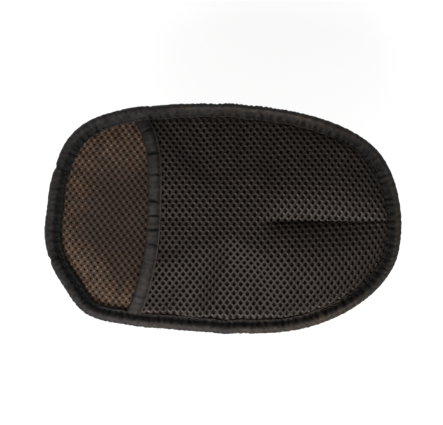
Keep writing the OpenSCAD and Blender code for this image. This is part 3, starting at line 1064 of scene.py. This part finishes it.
class RimTape:
    """What the tape does at each point of the outline, and how far that reaches across its section."""

    def __init__(self):
        outer, inner = rim_section()
        self.section = np.vstack([outer, inner])
        self.shown = np.arange(len(self.section)) < len(outer)
        self.read_outline(RIM[:, 0], RIM[:, 1])
        self.read_section(self.section[:, 0], self.section[:, 1])

    def read_outline(self, x, y):
        self.heel, self.toe, self.lower = ease(x, -75, -100), ease(x, 60, 95), ease(y, -45, -70)
        self.pleat = gathers(RIM_RUN, RIM_LENGTH, 5.2, 1.15, 11)
        self.bumps = gathers(RIM_RUN, RIM_LENGTH, 2.9, 0.8, 12)
        tight = 0.35 + 0.65 * ease(x, -20, 40) + 0.35 * ease(y, -10, -50)
        self.pulled = self.pleat * np.minimum(tight, 1.1)
        self.ruffled = ease(x, -40, -15) * ease(x, 75, 45) * ease(y, 40, 60) + 0.5 * ease(y, -45, -65)
        # painted shade along the roll's outer edge, on the ruffled stretch and at the toe
        self.painted_edge_shade = 0.5 * self.ruffled + 0.35 * self.toe * ease(y, -50, -25)
        self.nick = sum(deep * pulse(RIM_RUN, RIM_RUN[np.argmin(np.hypot(x - fold_x, y - fold_y))], wide)
                        for fold_x, fold_y, deep, wide in TAPE_FOLDS)

    def read_section(self, a, z):
        self.top = z > (Z_RIM_LOW + Z_RIM_TOP) / 2
        self.side = np.where(self.top, 1, -1)
        self.edge = ease(a, 2.5, 0)
        self.band = smooth((a - 3.6) / 2.2) * (1 - 0.85 * smooth((a - 7.0) / 1.8))
        self.ridge = pulse(a, ROLL_A, 0.7) * self.shown * self.top
        self.soft = crumple(RIM_RUN, RIM_LENGTH, a * self.side, 13)

    def heights(self):
        z = self.section[:, 1] - np.outer(self.pulled * 1.3, self.band * np.where(self.top, 1, -0.3))
        z -= np.outer(self.pulled * 0.25, self.side)
        z += self.soft * np.where(self.top, 0.26, -0.1) + np.outer(self.ruffled, self.ridge) * 0.5
        return z - np.outer(self.nick, self.band * self.top + self.edge * self.side * 0.5) * 1.1

    def depths(self):
        """How far in from the outline each point lies."""
        a = self.section[:, 0]
        wave = 0.25 * np.sin(RIM_RUN / 17) + 0.2 * np.sin(RIM_RUN / 7.3 + 1)
        ruffle = np.outer(self.bumps * (0.05 + 0.55 * self.ruffled) + self.pleat * 0.12, self.edge)
        depth = a + (ruffle - RIM_PROUD * self.shown * (a < 4))
        depth += self.soft * self.edge * 0.1
        depth += np.outer(wave + self.pleat * 0.5 - self.bumps * 0.35, ease(a, 6, 9)) * 0.9
        depth += np.outer(self.heel * HEEL_WIDER + self.toe * TOE_WIDER, ease(a, 4, 8))
        return depth + np.outer(self.nick, self.edge) * 0.9

    def relief(self):
        """Painted light on the tape: painted highlight on the roll's crest, on the roll's outer side along
        the bottom and on the lip there; painted shade in the folds and creases, along the outer edge and the
        inner side, and round the heel and the toe.
        """
        a = self.section[:, 0]
        crest = 0.5 - 0.5 * np.outer(self.pulled, self.band) + 0.12 * self.soft
        crest += np.outer(self.ruffled, self.ridge) * 0.8
        crest -= np.outer(self.painted_edge_shade, self.edge)
        crest += np.outer(0.34 * self.lower * (1 - 0.6 * self.heel), ease(a, 4.5, 2.5) * self.shown)
        shade = 0.12 + 0.36 * self.toe + 0.36 * self.heel + 0.04 * self.lower
        crest -= shade[:, None] * smooth((a + self.toe[:, None] - 4.2) / 1.6) * self.shown
        lip = (a > 8) * self.shown
        crest += np.outer(0.45 * self.lower * (1 - self.heel) - 0.35 * self.heel, lip)
        return np.clip(crest - np.outer(self.nick, self.shown) * 0.6, 0, 1)


def make_rim_binding():
    tape = RimTape()
    xy = RIM[:, None] + RIM_IN[:, None] * tape.depths()[..., None]
    points = np.column_stack([xy.reshape(-1, 2), tape.heights().ravel()])
    ids = np.arange(len(points)).reshape(len(RIM), -1)
    faces = quads(ids.T, np.roll(ids, -1, axis=1).T)
    piece = mesh_object("rim_binding", points, faces, tape.relief().ravel())
    finish_palm(piece, TAPE, "rim_binding")


# ---- Threads ----

STITCH_R = 0.24
STITCH_DIP = 0.38            # how far its ends curve down into the fabric


def stitch_row(name, paths, normals, length):
    """A row of short rounded stitches. Each path is a stitch's middle and its direction."""
    around, along = 8, 7
    u = np.linspace(-1, 1, along)
    turn = np.arange(around) / around * TURN
    points, faces = [], []
    for (p, d), up in zip(paths, normals):
        side = np.cross(up, d)
        thick = STITCH_R * np.sqrt(np.clip(1 - np.abs(u) ** 3, 0.02, 1))
        base = len(points)
        for s, t in zip(u, thick):
            centre = p + d * s * length / 2 - up * STITCH_DIP * s * s
            points += [centre + (side * math.cos(q) + up * math.sin(q)) * t for q in turn]
        ids = base + np.arange(along * around).reshape(along, around)
        for r in range(along - 1):
            faces += quads(ids[r], ids[r + 1]).tolist()
        faces += [ids[0][::-1].tolist(), ids[-1].tolist()]
    return mesh_object(name, points, faces, np.full(len(points), 0.6))


def make_rim_stitches():
    pitch, inset = 4.1, 7.5
    count = round(RIM_LENGTH / pitch)
    paths, normals = [], []
    for k in range(count):
        i = int(k * len(RIM) / count)
        along = np.array([RIM_IN[i][1], -RIM_IN[i][0], 0])
        spot = RIM[i] + RIM_IN[i] * inset
        if abs(spot[0] - REAR_CUT) < pitch * 0.6:
            continue
        for z, up in ((Z_RIM_TOP - 2.1, 1), (Z_RIM_LOW + 0.95, -1)):
            paths.append((np.array([*spot, z]), along))
            normals.append(np.array([0, 0, up]))
    piece = stitch_row("rim_stitches", paths, normals, 3.2)
    finish_palm(piece, THREAD, "thread")


# ---- Mouth ----

MOUTH_FOLD = -1.7            # how far the tape's fold stands behind the panel's free edge
MOUTH_LEG = 8.0              # how far its legs reach in over the panel
MOUTH_RUN = 134.0            # length of the mouth's edge, near enough to space the creases


def mouth_frame(t):
    """Position, and directions into the panel, up and along, at shares t of the mouth's edge."""
    flat, side = mouth_at(t), mouth_side(t)
    here = BACK.at(flat + side * 0.5)
    slope = unit(BACK.at(flat + side * 4.0) - here)
    before, after = mouth_at(t - MOUTH_STEP), mouth_at(t + MOUTH_STEP)
    along = unit(np.column_stack([after - before, BACK.at(after)[:, 2] - BACK.at(before)[:, 2]]))
    up = np.cross(along, slope)
    up *= np.sign(up[:, 2])[:, None]
    return here - slope * 0.5, slope, up, along


def mouth_thickness(t, a):
    """Share of the mouth's full thickness, a in from its edge: it is sewn flat under the rim binding."""
    spots = mouth_at(t)[:, None] + mouth_side(t)[:, None] * a[..., None]
    depth = rim_depth(spots.reshape(-1, 2)).reshape(a.shape)
    return 0.26 + 0.74 * ease(depth, RIM_W - 1, RIM_W + 13)


def mouth_sweep(section, t, swell):
    """Sweeps a closed (in, up) section along the mouth. swell adds (in, up) shifts to each of its points."""
    here, slope, up, _ = mouth_frame(t)
    a = section[:, 0][None] + swell[..., 0]
    o = (section[:, 1][None] + swell[..., 1]) * mouth_thickness(t, a)
    points = here[:, None] + slope[:, None] * a[..., None] + up[:, None] * o[..., None]
    points = points.reshape(-1, 3)
    points[:, :2] = keep_inside(points[:, :2], 3.5, 1.5)
    n, steps = len(section), len(t)
    ids = np.arange(steps * n).reshape(steps, n)
    faces = np.concatenate([quads(ids[k], ids[k + 1]) for k in range(steps - 1)]).tolist()
    faces += [ids[0][::-1].tolist(), ids[-1].tolist()]
    return points, faces


def mouth_section():
    """The folded tape round the panel's edge: over it, round the fold and back under it."""
    low_o, high_o = -3.6, 1.9
    turn = np.radians(np.linspace(95, 265, 9))
    mid, half = (low_o + high_o) / 2, (high_o - low_o) / 2
    fold = np.column_stack([1.1 + (1.1 - MOUTH_FOLD) * np.cos(turn), mid + half * np.sin(turn)])
    over = [(MOUTH_LEG, 0.25), (MOUTH_LEG, 0.85), (MOUTH_LEG - 0.5, 1.3), (MOUTH_LEG - 1.1, 0.95),
            (MOUTH_LEG - 1.9, 1.05), (5.0, 1.75), (4.0, 2.05), (2.6, 2.1)]
    under = np.array([(2.6, -0.02), (5.0, 0.2), (MOUTH_LEG - 0.6, 0.5), (MOUTH_LEG, 0.8), (MOUTH_LEG, 1.2),
                      (4.0, 0.9), (0.6, 1.0)]) + (0, low_o)
    inside = [(0.2, mid), (0.6, 0.6), (4.0, 0.7)]
    return np.vstack([over, fold, under, inside])


def mouth_creases(run, across):
    """Sharp slanting folds over part of the tape's width, shallower towards its lower end."""
    rng = np.random.default_rng(21)
    total = np.zeros((len(run), len(across)))
    at = 9.0
    while at < MOUTH_RUN - 6:
        depth = rng.uniform(0.6, 1.1) * (1 - 0.75 * smooth((at / MOUTH_RUN - 0.55) / 0.2))
        slant, centre = rng.uniform(-0.25, 0.25), rng.uniform(1.0, 6.5)
        here = pulse(run[:, None] + across[None] * slant, at, rng.uniform(0.6, 0.95))
        total += depth * here * np.exp(-((across[None] - centre) / 4.5) ** 2)
        at += rng.uniform(6.5, 19)
    return total


def make_mouth_binding():
    section = mouth_section()
    t = np.linspace(-0.035, 1.03, 230)
    run = t * MOUTH_RUN
    crease = mouth_creases(run, section[:, 0])
    wrinkle = gathers(run, MOUTH_RUN, 4.2, 0.8, 22) * 0.16
    puff = np.sin(run / MOUTH_RUN * TURN * 5.3) * 0.12
    over = np.zeros(len(section))
    over[3:13] = 1               # the top of the tape and the upper half of its fold
    inward_pull = np.zeros(len(section))
    inward_pull[8:15] = 1        # the fold, where creases draw it in
    swell = np.zeros((len(t), len(section), 2))
    swell[..., 1] = (puff - wrinkle)[:, None] * over - crease * over * 1.3
    swell[..., 0] = crease * inward_pull * 0.5 + np.outer(wrinkle * 0.5, inward_pull)
    points, faces = mouth_sweep(section, t, swell)
    # Painted light: the tape is drawn paler the higher it stands, with a painted highlight on its lip (point
    # 2) and painted shade in its creases and wrinkles.
    crest = np.clip(0.35 + section[:, 1] * 0.22, 0, 1)
    crest[2] = 1.0
    relief = np.clip(crest[None] - (crease * 0.9 + (wrinkle * 0.6)[:, None]) * over, 0, 1)
    piece = mesh_object("mouth_tape", points, faces, relief.ravel())
    finish(piece, bend_with_mouth, MOUTH_TAPE, "mouth_binding", "mouth_binding")


def make_elastic():
    """Flat elastic inside the fold, lightly scalloped where it has drawn the tape up."""
    section = np.array([(1.0, 0.1), (5.8, 0.1), (6.2, 0.3), (5.8, 0.5), (1.0, 0.5), (0.6, 0.3)])
    t = np.linspace(0.05, 0.95, 120)
    swell = np.zeros((len(t), len(section), 2))
    swell[..., 1] = (0.06 * np.sin(t * MOUTH_RUN / 4.2 * TURN))[:, None]
    points, faces = mouth_sweep(section, t, swell)
    piece = mesh_object("mouth_elastic_band", points, faces, np.full(len(points), 0.5))
    finish(piece, bend_with_mouth, ELASTIC, "elastic", "mouth_elastic")


def make_mouth_stitches():
    t = np.arange(0.045, 0.965, 0.031)
    here, slope, up, along = mouth_frame(t)
    paths, normals = [], []
    inset = MOUTH_LEG - 1.15
    share = mouth_thickness(t, np.full((len(t), 1), inset))[:, 0]
    for h, s, u, d, k in zip(here, slope, up, along, share):
        for lift, face in ((1.0, 1), (-3.1, -1)):
            paths.append((h + s * inset + u * lift * k, d))
            normals.append(u * face)
    piece = stitch_row("mouth_thread", paths, normals, 3.0)
    finish(piece, bend_with_mouth, THREAD, "thread", "mouth_stitches")


def make_dart_stitches():
    """The seam's thread, inside the pocket under the back lining."""
    x = np.arange(DART_APEX + 4, high("rim_binding_fingers", 0) - RIM_W, 4.2)
    flat = np.column_stack([x, np.full(len(x), DART_Y)])
    here = BACK.at(flat, -3.95)
    ahead = BACK.at(flat + (1, 0), -3.95)
    paths = [(p, (q - p) / np.linalg.norm(q - p)) for p, q in zip(here, ahead)]
    piece = stitch_row("dart_thread", paths, [np.array([0, 0, -1.0])] * len(x), 3.2)
    finish(piece, bend_with_fingers, THREAD, "thread", "dart_stitches")


make_back_mesh()
make_back_lining()
make_palm_lining()
make_padding()
make_nub_pad()
make_rim_binding()
make_rim_stitches()
make_mouth_binding()
make_elastic()
make_mouth_stitches()
make_dart_stitches()

# ---- Stage ----

VIEW_W = 297.0               # width of the floor that the picture shows
CAMERA_Z = 1300.0
VIEW_CENTRE = (-1.0, 4.0)
FLOOR_MARGIN = 12.0
KEY_FROM = (-0.4, -1.15, 0.95)       # direction from the mitt towards the key light
KEY_STRENGTH = 4.3
KEY_SPREAD = 42              # degrees, for soft shadows
FILL = 0.45                  # light from all round; what the camera sees behind the mitt is white


def make_floor():
    """A pale light table, low enough that the fingers can curl all the way down above it."""
    curl = math.radians(joint("knuckle_flex")["range_deg"][1])
    reach = high("rim_binding_fingers", 0) - KNUCKLE_X
    z = -(reach * math.sin(curl) + FLOOR_MARGIN) * MM
    size = 3.0
    mesh = bpy.data.meshes.new("floor")
    corners = [(-size, -size, z), (size, -size, z), (size, size, z), (-size, size, z)]
    mesh.from_pydata(corners, [], [(0, 1, 2, 3)])
    floor = add_object("floor", mesh)
    p = Paint("pale_floor")
    p.use(Base_Color=p.mix(p.noise(300), (0.2, 0.2, 0.2, 1), (0.23, 0.23, 0.23, 1)), Roughness=0.9,
          Emission_Color=(1, 1, 1, 1), Emission_Strength=0.84, Specular_IOR_Level=0.0)
    mesh.materials.append(p.material)


def make_lights():
    """One broad soft light from the -Y side, and even light from all round."""
    key = bpy.data.lights.new("key", "SUN")
    key.energy = KEY_STRENGTH
    key.angle = math.radians(KEY_SPREAD)
    lamp = add_object("key", key)
    lamp.rotation_euler = Vector(KEY_FROM).to_track_quat("Z", "Y").to_euler()
    world = bpy.data.worlds.new("studio")
    world.use_nodes = True
    nodes, links = world.node_tree.nodes, world.node_tree.links
    fill, backdrop = nodes["Background"], nodes.new("ShaderNodeBackground")
    fill.inputs["Strength"].default_value = FILL
    mix, path = nodes.new("ShaderNodeMixShader"), nodes.new("ShaderNodeLightPath")
    for node in (fill, backdrop):
        node.inputs["Color"].default_value = (1, 1, 1, 1)
    links.new(path.outputs["Is Camera Ray"], mix.inputs[0])
    links.new(fill.outputs[0], mix.inputs[1])
    links.new(backdrop.outputs[0], mix.inputs[2])
    links.new(mix.outputs[0], nodes["World Output"].inputs["Surface"])
    bpy.context.scene.world = world
    bpy.context.scene.view_settings.view_transform = "Standard"


def make_camera():
    data = bpy.data.cameras.new("camera")
    data.sensor_width = 36
    data.lens = data.sensor_width * (CAMERA_Z - (Z_RIM_LOW + Z_RIM_TOP) / 2) / VIEW_W
    camera = add_object("camera", data)
    camera.location = (VIEW_CENTRE[0] * MM, VIEW_CENTRE[1] * MM, CAMERA_Z * MM)
    bpy.context.scene.camera = camera


make_floor()
make_lights()
make_camera()
